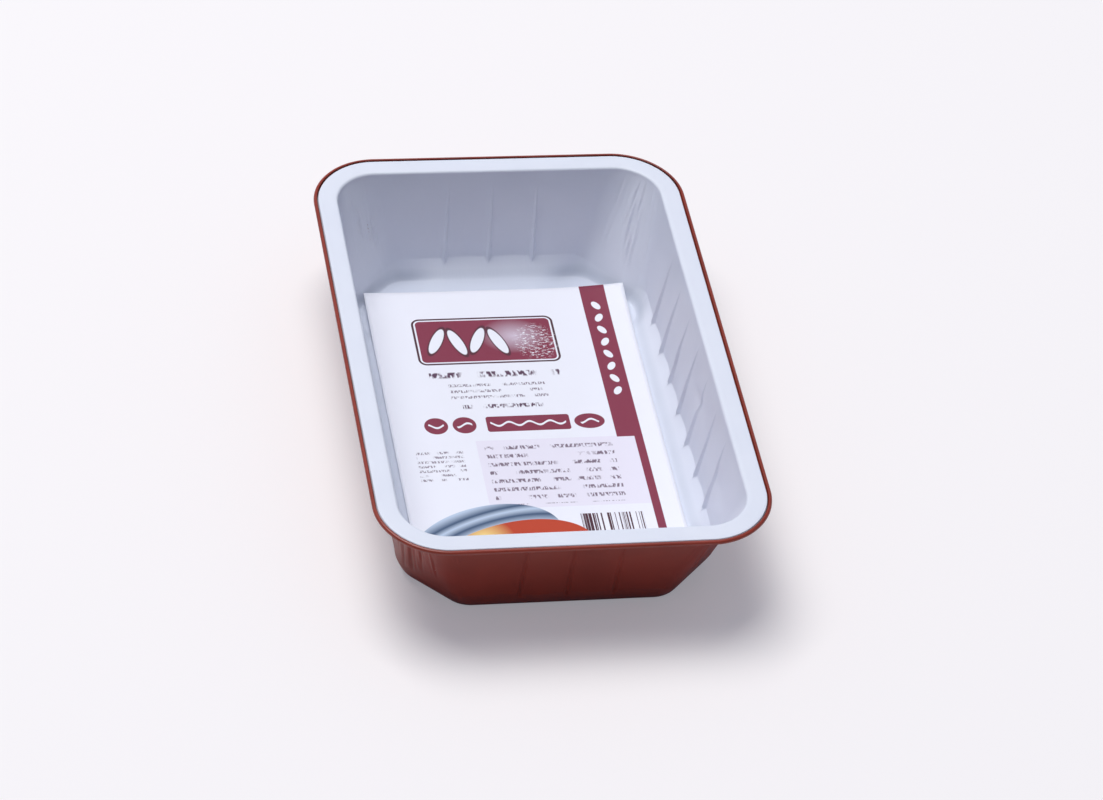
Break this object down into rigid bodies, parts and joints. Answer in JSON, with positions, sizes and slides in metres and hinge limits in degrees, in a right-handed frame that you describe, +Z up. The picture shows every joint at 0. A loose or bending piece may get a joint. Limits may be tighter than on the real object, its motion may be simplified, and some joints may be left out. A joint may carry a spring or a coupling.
{
  "type": "foil food container",
  "caption": "Rectangular pressed foil food container with a rolled rim, ribbed walls and cut lower corners, with a printed label card lying inside.",
  "frame": {"origin": "middle of the underside of the base, on the surface that the container stands on", "axes": "+X to the right across the container, +Y along its length to the far short wall, +Z up out of its mouth"},
  "size_m": [0.1538, 0.2334, 0.0492],
  "materials": {
    "lacquered_foil": "satin lacquer, terracotta outside and white inside",
    "label_card": "coated card, printed in plum fields"
  },
  "bodies": {
    "root": {"container": "lacquered_foil", "label_card": "label_card"}
  },
  "joints": []
}
